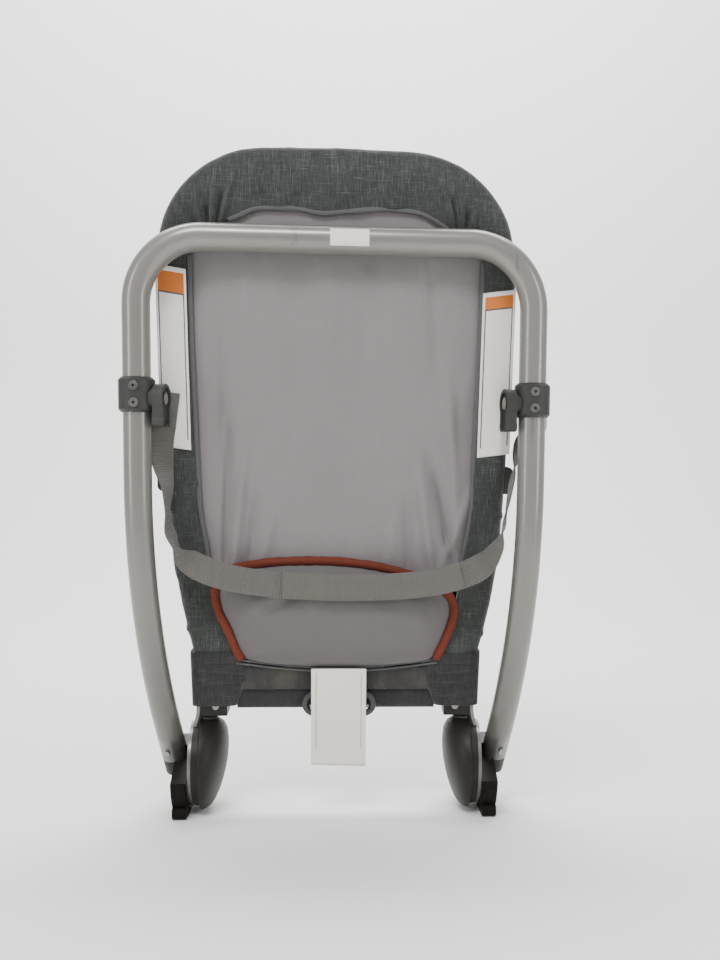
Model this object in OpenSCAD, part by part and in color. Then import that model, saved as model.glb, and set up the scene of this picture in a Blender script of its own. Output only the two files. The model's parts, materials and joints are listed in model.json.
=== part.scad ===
// Folding baby bouncer seat, folded flat and standing on its two hub feet.
// +X to the right seen from behind, +Y towards the sitting side, +Z up.
// The rocker base is behind the seat, on the -Y side.

/* [Base frame] */
// Distance between the centrelines of the two rails
rail_spacing = 361; // [340:1:372]
// Height of the crossbar's centreline above the floor
crossbar_z = 543; // [520:1:560]
// Outer diameter of the base tube
base_tube_d = 25.4; // [22:0.1:26]
// Wall thickness of the base tube
base_tube_wall = 1.5; // [1:0.1:2]
// Centreline radius of the crossbar's corners
corner_r = 60; // [45:1:75]
// Height at which the rails start to curve
rail_bend_z = 324; // [318:1:330]
// Centreline radius of the rocker curve
rail_bend_r = 600; // [590:5:610]

/* [Hubs] */
// Distance of each hub's joint plane from the middle
joint_x = 141.5; // [141:0.1:142]
// Height of the fold axis above the floor
hub_z = 47; // [46:0.5:50]
// Radius of the hub housing
hub_r = 44; // [42:0.5:44]
// Diameter of the fold axle
axle_d = 8; // [6:0.5:9]
// Travel of a release button
button_travel = 4; // [3:0.5:4]

/* [Seat] */
// Angle by which the folded seat leans towards the crossbar
seat_lean = 3.5; // [3:0.5:4]
// Outer diameter of the seat tube
seat_tube_d = 19; // [17:0.5:19]
// Wall thickness of the seat tube
seat_tube_wall = 1.2; // [1:0.1:1.5]
// Angle that the seat opens to
open_angle = 45; // [30:5:45]

/* [Webbing] */
// Width of the webbing
webbing_w = 25; // [20:1:26]
// Thickness of the webbing
webbing_t = 2; // [1.5:0.1:2.5]

/* [Hidden] */
$fn = 64;
fit_gap = 0.05;
body_gap = 0.3;

rail_x = rail_spacing / 2;
rail_y = -45;
rail_r = base_tube_d / 2;
rail_bend_a = 24;
rail_turn_a = 21;
rail_end_l = 28;
rail_end_z = rocker_point(rail_bend_a, rail_end_l)[2];

hub_y = 14;
housing_w = 15.5;
housing_top_z = 66;
shoulder_l = 16;
arm_disc_t = 6.5;
arm_plate_t = 3.2;
arm_outer_x = joint_x - body_gap;
plate_inner_x = arm_outer_x - arm_plate_t;
arm_inner_x = plate_inner_x - arm_disc_t;
dome_x = arm_inner_x - body_gap;
arm_disc_r = 42;
neck_half = 13.5;
pin_r = 3;
pin_orbit = 28;
pin_angle = 10;
button_r = 9;
housing_x = joint_x + housing_w;
axle_end_x = 150;
button_floor_x = housing_x - 8;
cap_x = button_floor_x + button_travel + 0.2;
rivet_r = 2;
clamp_rivet_r = 2.4;
sticker_x = 11;
tube_sides = 20;
ribbon_steps = 3;

clamp_z = 401.5;
clamp_h = 31.5;
clamp_r = 16.5;
clamp_turn = 10;
clamp_rivet_step = 7.5;
pivot_dz = -3;
lever_x0 = 17.8;
lever_t = 10;

seat_r = seat_tube_d / 2;
tube_start = [119, 0, 58];
lower_slope = 7.5;
lower_run = 190;
side_turn = 6;
side_turn_r = 400;
upper_run = 190;
top_corner_r = 85;
upper_slope = lower_slope - side_turn;
seat_steps = [[lower_run, side_turn, side_turn_r],
              [upper_run, 90 + upper_slope, top_corner_r]];
cross_w = 78;
cross_r = 8;
cross_half = 110;

// Back and front faces of the fabric sleeves
sleeve_back = -11;
sleeve_front = 20;
flap_top = 108;

// Half-widths of the bucket's outline, and its middle height
bucket_w = 158;
bucket_half = 117;
bucket_up = 42;
bucket_down = 58.5;

// Side, depth and height of the carry strap's stations, with the direction of its width
strap_route = [
    [[-157, -28, 406], [1, 0.2, 0]],
    [[-158, -27, 380], [0.95, 0.3, 0]],
    [[-159, -27, 354], [0.9, 0.45, 0]],
    [[-158, -30, 336], [0.7, 0.7, 0]],
    [[-156, -33, 318], [0.3, 1, 0]],
    [[-156, -34, 296], [0, 1, 0]],
    [[-153, -36, 276], [0.1, 0.9, 0.4]],
    [[-146, -38, 260], [-0.4, 0.6, 0.7]],
    [[-134, -39, 249], [-0.4, 0.3, 0.9]],
    [[-116, -39, 240], [-0.3, 0.1, 1]],
    [[-90, -38, 233], [-0.2, 0, 1]],
    [[-50, -37, 228], [-0.1, 0, 1]],
    [[0, -37, 226], [0, 0, 1]],
    [[50, -37, 227], [0, 0, 1]],
    [[90, -38, 231], [0.1, 0, 1]],
    [[118, -39, 238], [0.2, 0, 1]],
    [[136, -39, 247], [0, 0.35, 1]],
    [[149, -37, 262], [-0.3, 0.8, 0.3]],
    [[157, -34, 282], [0.3, 0.9, 0.3]],
    [[162, -29, 306], [0.05, 1, 0]],
    [[167, -24, 332], [0, 1, 0]],
    [[171, -24, 350], [0.4, 0.8, -0.3]],
    [[178, -25, 363], [0.7, 0.5, -0.5]],
    [[187, -29, 374], [0.5, 0.7, -0.5]],
    [[193, -35, 387], [0.1, 0.95, -0.3]],
    [[195, -42, 402], [0, 1, 0]]
];
grip_first = 11;
grip_last = 15;

// ---------- shared helpers ----------

// Shapes are drawn for the right side; the left one is their mirror image
module on_left() {
    mirror([1, 0, 0]) children();
}

module on_both_sides() {
    children();
    on_left() children();
}

module rod_x(x0, x1, r) {
    translate([x0, 0, 0]) rotate([0, 90, 0]) cylinder(h = x1 - x0, r = r);
}

// An outline drawn in (depth, height), given thickness along X
module slab_x(x0, x1) {
    translate([x0, 0, 0]) rotate([90, 0, 90]) linear_extrude(height = x1 - x0) children();
}

// An outline drawn in (side, height), given thickness along Y
module slab_y(y0, y1) {
    translate([0, y1, 0]) rotate([90, 0, 0]) linear_extrude(height = y1 - y0) children();
}

// Seat frame: origin on the fold axis, leaning towards the crossbar
module at_seat() {
    translate([0, hub_y, hub_z]) rotate([seat_lean, 0, 0]) children();
}

function unit(v) = v / norm(v);
function route_dir(route, i) =
    unit(route[min(i + 1, len(route) - 1)][0] - route[max(i - 1, 0)][0]);
function across(route, i) =
    unit(route[i][1] - (route[i][1] * route_dir(route, i)) * route_dir(route, i));
function ribbon_ring(route, i, w, t) =
    let (side = across(route, i) * w / 2,
         face = cross(route_dir(route, i), across(route, i)) * t / 2)
    [route[i][0] - side - face, route[i][0] + side - face,
     route[i][0] + side + face, route[i][0] - side + face];

// Triangles between one ring of points and another, whose numbers start at from and to
function band_faces(from, to, sides) =
    [for (k = [0 : sides - 1])
        let (next = (k + 1) % sides)
        each [[from + k, to + k, to + next], [from + k, to + next, from + next]]];

// Skin of a solid whose rings all have the same number of points
function skin_faces(rings, sides) = concat(
    [[for (k = [0 : sides - 1]) k]],
    [for (i = [0 : rings - 2]) each band_faces(i * sides, (i + 1) * sides, sides)],
    [[for (k = [sides - 1 : -1 : 0]) (rings - 1) * sides + k]]);

// Skin of a pipe: its outer rings come first, then its inner ones
function pipe_faces(rings, sides) =
    let (inner = rings * sides, last = (rings - 1) * sides)
    [for (i = [0 : rings - 2]) each concat(
        band_faces(i * sides, (i + 1) * sides, sides),
        band_faces(inner + (i + 1) * sides, inner + i * sides, sides)),
     each band_faces(inner, 0, sides),
     each band_faces(last, inner + last, sides)];

// The same stations with even steps put between them, so that a twist stays gentle
function in_steps(route, steps) = concat(
    [for (i = [0 : len(route) - 2])
        for (k = [0 : steps - 1])
            let (t = k / steps)
            [for (j = [0, 1]) route[i][j] * (1 - t) + route[i + 1][j] * t]],
    [route[len(route) - 1]]);

// Flat webbing along stations of a point and the direction of its width
module ribbon(route, w, t) {
    fine = in_steps(route, ribbon_steps);
    points = [for (i = [0 : len(fine) - 1]) each ribbon_ring(fine, i, w, t)];
    polyhedron(points = points, faces = skin_faces(len(fine), 4), convexity = 6);
}

// Rings of points round a line in a plane that is upright or slopes towards Y
function round_rings(points, r) =
    let (route = [for (p = points) [p, [0, 1, 0]]])
    [for (i = [0 : len(route) - 1])
        let (side = across(route, i), face = cross(route_dir(route, i), side))
        for (k = [0 : tube_sides - 1])
            let (b = k * 360 / tube_sides)
            route[i][0] + r * (cos(b) * side + sin(b) * face)];

module rod_along(points, r) {
    polyhedron(points = round_rings(points, r), faces = skin_faces(len(points), tube_sides),
               convexity = 6);
}

module pipe_along(points, r, wall) {
    // The bore's flats, not its corners, keep the wall's thickness
    bore = (r - wall) / cos(180 / tube_sides);
    polyhedron(points = concat(round_rings(points, r), round_rings(points, bore)),
               faces = pipe_faces(len(points), tube_sides), convexity = 8);
}

// A line drawn on the right, carried on by its mirror image on the left
function both_halves(half) = concat(half,
    [for (i = [len(half) - 1 : -1 : 0]) [-half[i][0], half[i][1], half[i][2]]]);

// ---------- base frame ----------

module at_rail_end() {
    translate([rail_x, rail_y, rail_bend_z]) rotate([0, 0, rail_turn_a])
    translate([0, rail_bend_r * (1 - cos(rail_bend_a)), -rail_bend_r * sin(rail_bend_a)])
    rotate([rail_bend_a, 0, 0]) translate([0, 0, -rail_end_l]) children();
}

// A point of the rocker's curve: how far it has bent, and how far past the bend's end it is
function rocker_point(bent, past) =
    let (forward = rail_bend_r * (1 - cos(bent)) + past * sin(bent),
         down = rail_bend_r * sin(bent) + past * cos(bent))
    [rail_x - forward * sin(rail_turn_a), rail_y + forward * cos(rail_turn_a),
     rail_bend_z - down];

base_half = concat(
    [rocker_point(rail_bend_a, rail_end_l)],
    [for (a = [rail_bend_a : -3 : 0]) rocker_point(a, 0)],
    [for (a = [0 : 7.5 : 90])
        [rail_x + corner_r * (cos(a) - 1), rail_y, crossbar_z + corner_r * (sin(a) - 1)]]);

module at_clamp_rivets() {
    for (step = [-1, 1])
        translate([rail_x, rail_y, clamp_z + step * clamp_rivet_step]) rotate([90, 0, 0])
            children();
}

// Rivet near the rail's lower end, facing backwards
module at_end_rivet() {
    at_rail_end() translate([0, 0, 11]) rotate([90, 0, 0]) children();
}

module base_tube() {
    color([0.63, 0.62, 0.59])
    difference() {
        pipe_along(both_halves(base_half), rail_r, base_tube_wall);
        on_both_sides() at_clamp_rivets() cylinder(h = 2 * rail_r, r = clamp_rivet_r + fit_gap);
        on_both_sides() at_end_rivet() cylinder(h = 2 * rail_r, r = rivet_r + fit_gap);
    }
}

module crossbar_sticker() {
    sticker_w = 35;
    sticker_t = 0.4;
    sticker_turn = 70;
    sticker_first = 232;
    color("white") translate([sticker_x - sticker_w / 2, rail_y, crossbar_z])
        rotate([0, 90, 0]) rotate([0, 0, sticker_first]) rotate_extrude(angle = sticker_turn)
        translate([rail_r + fit_gap, 0]) square([sticker_t, sticker_w]);
}

// ---------- hubs: fixed half ----------

module at_hub() {
    translate([0, hub_y, hub_z]) children();
}

module at_pin() {
    at_hub() translate([0, pin_orbit * cos(pin_angle), pin_orbit * sin(pin_angle)]) children();
}

module hub_housing() {
    spring_pocket = 4.5;
    spigot_r = rail_r - base_tube_wall - fit_gap;
    color([0.2, 0.2, 0.19])
    difference() {
        union() {
            difference() {
                at_hub() rod_x(joint_x, housing_x, hub_r);
                translate([joint_x - 1, hub_y - 60, housing_top_z]) cube([30, 120, 60]);
                // The back of the shell ends level with the rail's end
                translate([joint_x - 1, hub_y - 2, rail_end_z]) rotate([rail_bend_a, 0, 0])
                    translate([0, -60, 0]) cube([30, 60, 60]);
                at_rail_end() cylinder(h = 70, r = rail_r + 0.1);
            }
            at_rail_end() translate([0, 0, -shoulder_l]) cylinder(h = shoulder_l, r = rail_r);
            at_rail_end() cylinder(h = 24, r = spigot_r);
        }
        at_hub() rod_x(joint_x - 1, axle_end_x + 0.2, axle_d / 2);
        at_pin() rod_x(button_floor_x, housing_x + 20, button_r + 0.2);
        at_pin() rod_x(button_floor_x - spring_pocket, housing_x, 6.4);
        at_pin() rod_x(joint_x - 1, housing_x, pin_r + 0.2);
        at_end_rivet() cylinder(h = 2 * rail_r, r = rivet_r + fit_gap);
    }
}

module hub_dome() {
    dome_outline = [[dome_x, 2], [124, 10], [117, 19], [112, 29], [108.5, 38], [106, 48],
                    [104, 58], [102.8, 68], [102.8, 78], [104.5, 86], [108, 92], [dome_x, 94]];
    rounding_r = 50;
    color([0.21, 0.2, 0.19])
    difference() {
        intersection() {
            translate([0, hub_y, 0]) slab_y(-48, 48) polygon(dome_outline);
            at_hub() rod_x(95, dome_x, 46);
            translate([102.6 + rounding_r, hub_y, 0]) cylinder(h = 100, r = rounding_r);
        }
        difference() {
            translate([0, hub_y, 52]) rod_x(121, dome_x + 1, 33);
            at_hub() rod_x(120, dome_x, axle_d / 2 + 4);
        }
        at_hub() rod_x(111.8, dome_x + 1, axle_d / 2);
    }
}

module hub_axle() {
    color("silver") at_hub() rod_x(112, axle_end_x, axle_d / 2);
}

module foot_pad() {
    sole = 4.8;
    color([0.1, 0.1, 0.09])
    at_hub() slab_x(joint_x + 1, joint_x + 14.5)
    difference() {
        union() {
            intersection() {
                circle(r = hub_r + sole + 1);
                translate([-60, -hub_z]) square([120, hub_z - 10]);
            }
            translate([-34, -hub_z]) square([68, 12]);
            for (end = [-1, 1]) translate([end * 34, 6 - hub_z]) circle(r = 6);
        }
        circle(r = hub_r + fit_gap);
        for (groove = [-3 : 3]) translate([groove * 10 - 1, -hub_z - 1]) square([2, 2.2]);
    }
}

module rail_end_rivets() {
    color("silver")
    on_both_sides() at_end_rivet() {
        translate([0, 0, 3]) cylinder(h = rail_r - 3, r = rivet_r);
        translate([0, 0, rail_r + fit_gap]) cylinder(h = 1.2, r = 3.2);
    }
}

// ---------- rail clamps and kickstands ----------

module at_clamp() {
    translate([rail_x, rail_y, clamp_z]) rotate([0, 0, clamp_turn]) children();
}

module at_pivot() {
    at_clamp() translate([0, 0, pivot_dz]) mirror([1, 0, 0]) children();
}

module clamp_profile() {
    corner = 2.5;
    half_h = clamp_h / 2;
    inner = rail_r + fit_gap;
    polygon([[inner, -half_h], [clamp_r - corner, -half_h], [clamp_r, corner - half_h],
             [clamp_r, half_h - corner], [clamp_r - corner, half_h], [inner, half_h]]);
}

module rail_clamp() {
    color([0.33, 0.33, 0.32])
    difference() {
        union() {
            at_clamp() rotate_extrude() clamp_profile();
            at_pivot() rod_x(rail_r + 1, lever_x0 - body_gap, 10);
        }
        at_clamp_rivets() cylinder(h = 2 * rail_r, r = clamp_rivet_r + fit_gap);
        at_pivot() rod_x(rail_r + 2.5, lever_x0, 3);
    }
}

module clamp_rivets() {
    color("silver")
    on_both_sides() at_clamp_rivets() difference() {
        union() {
            translate([0, 0, rail_r - 4])
                cylinder(h = clamp_r - rail_r + 4, r = clamp_rivet_r);
            translate([0, 0, clamp_r + fit_gap]) cylinder(h = 1.2, r = 4.2);
        }
        translate([0, 0, rail_r - 5]) cylinder(h = 12, r = 1.3);
    }
}

module kickstand_screw() {
    color("silver") at_pivot() {
        rod_x(rail_r + 3, lever_x0 + lever_t - 2.4, 3);
        rod_x(lever_x0 + lever_t - 2.4, lever_x0 + lever_t - 0.6, 5.5);
    }
}

// Paddle outline about the pivot
module lever_outline(inset) {
    circle(r = 13 - inset);
    translate([-10.5 + inset, -21]) square([21 - 2 * inset, 21]);
    translate([-6.5 + inset, -26 + inset]) square([13 - 2 * inset, 6]);
    for (end = [-1, 1]) translate([end * (6.5 - inset), -21]) circle(r = max(4, 5 - inset));
}

module kickstand() {
    pocket = 2.5;
    color([0.33, 0.33, 0.32])
    difference() {
        at_pivot() slab_x(lever_x0, lever_x0 + lever_t) lever_outline(0);
        at_pivot() slab_x(lever_x0 + lever_t - pocket, lever_x0 + lever_t + 1)
            lever_outline(3);
        at_pivot() rod_x(lever_x0 - 1, lever_x0 + lever_t, 3 + fit_gap);
    }
}

module carry_strap() {
    color([0.45, 0.44, 0.42]) ribbon(strap_route, webbing_w, webbing_t);
}

// Second layer sewn on the middle of the carry strap
module strap_grip() {
    grip_route = [for (i = [grip_first : grip_last])
        [strap_route[i][0] + [0, -webbing_t - 0.2, 0], strap_route[i][1]]];
    color([0.45, 0.44, 0.42]) ribbon(grip_route, webbing_w, webbing_t);
}

// ---------- release buttons ----------

module release_button() {
    color([0.3, 0.3, 0.29]) at_pin() {
        rod_x(arm_inner_x + 2, cap_x + 1, pin_r);
        rod_x(cap_x, cap_x + 8, button_r);
    }
}

// Helix about X from x0 to x1
module coil_x(x0, x1, r, wire_r, turns) {
    steps = 14 * turns;
    sides = 6;
    rings = [for (i = [0 : steps]) let (a = i * 360 * turns / steps)
        for (k = [0 : sides - 1]) let (b = -k * 360 / sides, rr = r + wire_r * cos(b))
            [x0 + wire_r + (x1 - x0 - 2 * wire_r) * i / steps + wire_r * sin(b),
             rr * cos(a), rr * sin(a)]];
    polyhedron(points = rings, faces = skin_faces(steps + 1, sides), convexity = 8);
}

module button_spring() {
    color("silver") at_pin() coil_x(cap_x - 4.6, cap_x - 0.1, 5.2, 0.5, 3);
}

// ---------- seat arms ----------

// Where the metal plate's inner face stands, at a height above the fold axis
function plate_x(w) =
    let (t = min(1, max(0, (w - 26) / 32)))
    plate_inner_x - 6.4 * (1 - cos(180 * t)) / 2 + max(0, w - 58) * 0.09;

module plate_strip() {
    heights = [0, for (w = [26 : 4 : 58]) w, 90];
    polygon(concat([for (w = heights) [plate_x(w), w]],
                   [for (i = [len(heights) - 1 : -1 : 0])
                       [plate_x(heights[i]) + arm_plate_t, heights[i]]]));
}

// Axle bore, and the lock pin's arc slot with a round pocket at each end
module arm_cuts() {
    first = pin_angle - seat_lean;
    slot_half = pin_r + 0.4;
    pocket_r = pin_r + 0.9;
    rod_x(arm_inner_x - 1, arm_outer_x + 1, axle_d / 2 + fit_gap);
    rotate([0, 90, 0]) rotate([0, 0, 90 + first]) translate([0, 0, arm_inner_x - 1])
        rotate_extrude(angle = open_angle)
        translate([pin_orbit - slot_half, 0]) square([2 * slot_half, 12]);
    for (a = [first, first + open_angle])
        rotate([a, 0, 0]) translate([0, pin_orbit, 0])
            rod_x(arm_inner_x - 1, arm_outer_x + 1, pocket_r);
}

module seat_arm() {
    room_w = 25;
    neck_outline = concat(
        [[arm_inner_x, 0], [arm_inner_x, 50], [105.5, 50.5], [105.5, 90]],
        [[plate_x(90) - fit_gap, 90]],
        [for (w = [58 : -4 : 26]) [plate_x(w) - fit_gap, w]],
        [[plate_inner_x - fit_gap, 0]]);
    color([0.25, 0.25, 0.24])
    at_seat() difference() {
        union() {
            rod_x(arm_inner_x, plate_inner_x - fit_gap, arm_disc_r);
            slab_y(-neck_half, neck_half) polygon(neck_outline);
        }
        // Room for the plate where it bends through the disc's rim
        slab_y(-neck_half - fit_gap, neck_half + fit_gap)
            translate([plate_x(arm_disc_r) - 4 * fit_gap, room_w])
            square([2 * arm_plate_t, arm_disc_r + 1 - room_w]);
        arm_cuts();
        translate(tube_start - [0, 0, 0.1]) rotate([0, lower_slope, 0])
            cylinder(h = 60, r = seat_r + fit_gap);
        translate([0, 0, cross_w]) rod_x(100, cross_half + 0.1, cross_r + fit_gap);
        translate([116.5, 0, 60]) rotate([90, 0, 0]) cylinder(h = 20, r = 2.05);
    }
}

module arm_plate() {
    color([0.66, 0.65, 0.62])
    at_seat() difference() {
        union() {
            rod_x(plate_inner_x, arm_outer_x, arm_disc_r - 1);
            slab_y(-neck_half, neck_half) plate_strip();
        }
        arm_cuts();
    }
}

module arm_rivets() {
    color("silver")
    on_both_sides() at_seat() translate([116.5, 0, 60]) rotate([90, 0, 0]) {
        translate([0, 0, seat_r + 0.5]) cylinder(h = neck_half - seat_r - 0.5, r = 2);
        translate([0, 0, neck_half + fit_gap]) cylinder(h = 1.4, r = 3.2);
    }
}

// ---------- seat frame ----------

// The seat tube's line from one point on: a straight run, then a turn towards the middle
function seat_line(i, from, slope) =
    i == len(seat_steps) ? [] :
    let (run_end = from + seat_steps[i][0] * [sin(slope), 0, cos(slope)],
         turn = seat_steps[i][1],
         turn_r = seat_steps[i][2],
         parts = ceil(turn / 7.7),
         bend = [for (k = [0 : parts]) let (a = slope - turn * k / parts)
             run_end + turn_r * [cos(a) - cos(slope), 0, sin(slope) - sin(a)]])
    concat(bend, seat_line(i + 1, bend[parts], slope - turn));

seat_half = concat([tube_start], seat_line(0, tube_start, lower_slope));

// The tube's shape without its bore, a little longer at its lower ends, as a cutter
module seat_loop(r) {
    below = [tube_start - 2 * [sin(lower_slope), 0, cos(lower_slope)]];
    rod_along(both_halves(concat(below, seat_line(0, tube_start, lower_slope))), r);
}

module seat_tube() {
    color([0.66, 0.65, 0.62])
    at_seat() pipe_along(both_halves(seat_half), seat_r, seat_tube_wall);
}

module lower_cross_tube() {
    color([0.66, 0.65, 0.62])
    at_seat() translate([0, 0, cross_w]) difference() {
        rod_x(-cross_half, cross_half, cross_r);
        rod_x(-cross_half - 1, cross_half + 1, cross_r - seat_tube_wall);
    }
}

// ---------- seat fabric ----------

function rounded(v) = sign(v) * pow(abs(v), 0.7);
function bucket_edge(a, grow) =
    [(bucket_half + grow) * rounded(cos(a)),
     bucket_w + ((sin(a) > 0 ? bucket_up : bucket_down) + grow) * rounded(sin(a))];

module bucket_outline(grow) {
    polygon([for (a = [0 : 10 : 350]) bucket_edge(a, grow)]);
}

module side_sleeve() {
    outline = [[98, flap_top + 0.3], [140, flap_top + 0.3], [148, 160], [156.5, 255], [163, 400],
               [165, 488], [137, 488], [136, 400], [130, 253], [120, 204], [116, 190], [98, 140]];
    color([0.32, 0.33, 0.32])
    at_seat() difference() {
        slab_y(sleeve_back, sleeve_front) difference() {
            polygon(outline);
            bucket_outline(1.2);
        }
        seat_loop(seat_r + 0.3);
        translate([152, -6.4, 268.6]) cube([20, 12.8, 18.8]);
    }
}

module head_cover() {
    corner = 99;
    corner_x = 66;
    half = corner_x + corner;
    corner_w = 487;
    pocket_w = 520;
    color([0.32, 0.33, 0.32])
    at_seat() difference() {
        slab_y(sleeve_back, sleeve_front) difference() {
            union() {
                for (end = [-1, 1]) translate([end * corner_x, corner_w]) circle(r = corner);
                translate([-corner_x, corner_w]) square([2 * corner_x, corner]);
            }
            translate([-half - 1, 300]) square([2 * half + 2, 188.3]);
            translate([-118, 400]) square([236, pocket_w - 400]);
        }
        seat_loop(seat_r + 0.3);
    }
}

module lower_flap() {
    color([0.26, 0.26, 0.25])
    at_seat() difference() {
        translate([90, -16.5, 61]) cube([50.5, 33, flap_top - 61]);
        translate([104.8, -neck_half - 0.3, 50]) cube([34.5, 2 * neck_half + 0.6, 40.5]);
        seat_loop(seat_r + 0.3);
        translate([0, 0, cross_w]) rod_x(80, 115, cross_r + 0.3);
        translate([116.5, -10, 60]) rotate([90, 0, 0]) cylinder(h = 20, r = 4.2);
    }
}

module lower_sleeve() {
    color([0.28, 0.29, 0.28])
    at_seat() difference() {
        translate([-89.7, sleeve_back, 57]) cube([179.4, 22, 41]);
        translate([0, 0, cross_w]) rod_x(-95, 95, cross_r + 0.3);
    }
}

module lower_webbing() {
    color([0.42, 0.42, 0.41])
    at_seat() translate([-89, sleeve_back - webbing_t - 0.2, 77]) cube([178, webbing_t, 20]);
}

module back_panel() {
    half = [[113, 201.5], [125, 253], [131, 400], [131, 480], [116, 487], [116, 518]];
    mirrored = [for (i = [len(half) - 1 : -1 : 0]) [-half[i][0], half[i][1]]];
    color([0.6, 0.57, 0.58])
    at_seat() slab_y(-10, -6.5) polygon(concat(half, mirrored));
}

module seat_bucket() {
    wall = 3.5;
    shell = [[-9, 200.5], [-24, 186], [-35, 160], [-36, 128], [-26, 108], [-10, 99.2]];
    hollow = [[0, 200], [-8, 196], [-21, 183], [-31.5, 159], [-32.5, 129], [-23, 111],
              [-9, 103], [0, 99]];
    color([0.49, 0.47, 0.46])
    at_seat() difference() {
        intersection() {
            slab_x(-130, 130) polygon(concat(shell, [[-6, 99.2], [-6, 200.5]]));
            slab_y(-40, 0) bucket_outline(0);
        }
        intersection() {
            slab_x(-130, 130) polygon(hollow);
            slab_y(-41, 1) bucket_outline(-wall);
        }
    }
}

module bucket_piping() {
    cord_r = 4;
    first = -38;
    step = 8;
    last = 218;
    depth = -15.6;
    points = [for (a = [first : step : last]) let (edge = bucket_edge(a, cord_r + 0.6))
        [edge[0], depth, edge[1]]];
    color([0.45, 0.2, 0.1])
    at_seat() rod_along(points, cord_r);
}

module seat_liner() {
    back_v = -5.7;
    half = [[90, 192], [108, 206], [118, 240], [126, 400], [128, 480], [112, 486], [112, 516]];
    mirrored = [for (i = [len(half) - 1 : -1 : 0]) [-half[i][0], half[i][1]]];
    // Profile of the part that dips into the bucket, from its top edge down
    dip = [[2, 198], [-7, 181], [-16, 162], [-16, 125], [-8, 112], [0, 105], [-2, 102],
           [-9.5, 105.5], [-19, 111], [-27, 122], [-28, 129], [-27, 159], [-18.5, 183],
           [back_v, 194], [back_v, 198]];
    color([0.62, 0.6, 0.6])
    at_seat() {
        slab_y(back_v, 3) polygon(concat(half, mirrored));
        intersection() {
            slab_x(-120, 120) polygon(dip);
            slab_y(-40, 20) bucket_outline(-4.2);
        }
    }
}

module crotch_ring() {
    ring_half = 36;
    ring_h = 25;
    color([0.2, 0.2, 0.21])
    at_seat() translate([3, 0, 63.5]) slab_y(-19.5, -14.5) difference() {
        stadium(ring_half, ring_h / 2);
        stadium(ring_half - 6, ring_h / 2 - 6);
    }
}

module stadium(half, r) {
    translate([r - half, -r]) square([2 * (half - r), 2 * r]);
    for (end = [-1, 1]) translate([end * (half - r), 0]) circle(r = r);
}

module ring_bar() {
    color([0.7, 0.68, 0.66]) at_seat() translate([3, -17, 61]) rod_x(-28.5, 28.5, 1.8);
}

module care_tag() {
    color([0.88, 0.87, 0.84]) at_seat() translate([-24, -22.6, 5]) cube([53, 1.6, 93]);
}

module side_label(w0, w1) {
    color([0.9, 0.89, 0.87])
    at_seat() slab_y(sleeve_back - 1.3, sleeve_back - 0.3)
        polygon([[135, w0], [162, w0 + 5], [165, w1], [138, w1 - 5]]);
}

// Clip on the seat's edge with a blind bore that takes a toy bar's end from the front
module toy_bar_socket() {
    inner_u = 158.8;
    bore_u = 163.75;
    outer_r = 5.25;
    centre_w = 281;
    half_h = 13;
    back_v = -7;
    front_v = 10;
    color([0.27, 0.28, 0.28])
    at_seat() difference() {
        union() {
            slab_y(back_v, front_v) translate([0, centre_w]) {
                translate([inner_u, -half_h]) square([bore_u - inner_u, 2 * half_h]);
                translate([bore_u - 1, outer_r - half_h])
                    square([outer_r + 1, 2 * (half_h - outer_r)]);
                for (end = [-1, 1]) translate([bore_u, end * (half_h - outer_r)])
                    circle(r = outer_r);
            }
            translate([153.4, -6, 269]) cube([6, 12, 18]);
        }
        translate([bore_u, back_v + 2, centre_w]) rotate([-90, 0, 0]) cylinder(h = 20, r = 3.5);
        seat_loop(seat_r + 0.1);
    }
}

// ---------- harness ----------

module waist_strap() {
    route = [[[126, 21.8, 193], [0, 0, 1]], [[112, 21.8, 186], [0, 0, 1]],
             [[90, 6, 175], [0, 0, 1]], [[29, -5, 147], [0, 0, 1]]];
    color([0.25, 0.25, 0.25]) at_seat() ribbon(route, webbing_w * 0.8, webbing_t);
}

module crotch_strap() {
    route = [[[0, 9, 103], [1, 0, 0]], [[0, 0, 109], [1, 0, 0]], [[0, -7, 116], [1, 0, 0]],
             [[0, -10, 126.5], [1, 0, 0]]];
    color([0.25, 0.25, 0.25]) at_seat() ribbon(route, 30, webbing_t);
}

module buckle() {
    color([0.12, 0.12, 0.12])
    at_seat() difference() {
        translate([0, 2, 147]) slab_y(-13, 0) buckle_outline(0);
        translate([0, 0, 150]) rotate([-90, 0, 0]) translate([0, 0, -3.5])
            cylinder(h = 10, r = 9.3);
    }
}

module buckle_outline(inset) {
    translate([-19 + inset, -20 + inset]) square([38 - 2 * inset, 40 - 2 * inset]);
    translate([-27 + inset, -12 + inset]) square([54 - 2 * inset, 24 - 2 * inset]);
}

module buckle_button() {
    color([0.55, 0.2, 0.12])
    at_seat() translate([0, 0.2, 150]) rotate([-90, 0, 0]) cylinder(h = 4.8, r = 9);
}

base_tube();
on_left() hub_housing();  // hub_housing_left
hub_housing();  // hub_housing_right
on_left() hub_dome();  // hub_dome_left
hub_dome();  // hub_dome_right
on_left() hub_axle();  // hub_axle_left
hub_axle();  // hub_axle_right
on_left() foot_pad();  // foot_pad_left
foot_pad();  // foot_pad_right
rail_end_rivets();
on_left() rail_clamp();  // rail_clamp_left
rail_clamp();  // rail_clamp_right
clamp_rivets();
on_left() kickstand_screw();  // kickstand_screw_left
kickstand_screw();  // kickstand_screw_right
carry_strap();
strap_grip();
crossbar_sticker();
on_left() kickstand();  // kickstand_left
kickstand();  // kickstand_right
on_left() release_button();  // release_button_left
release_button();  // release_button_right
on_left() button_spring();  // button_spring_left
button_spring();  // button_spring_right
seat_tube();
lower_cross_tube();
on_left() seat_arm();  // seat_arm_left
seat_arm();  // seat_arm_right
on_left() arm_plate();  // arm_plate_left
arm_plate();  // arm_plate_right
arm_rivets();
head_cover();
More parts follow.
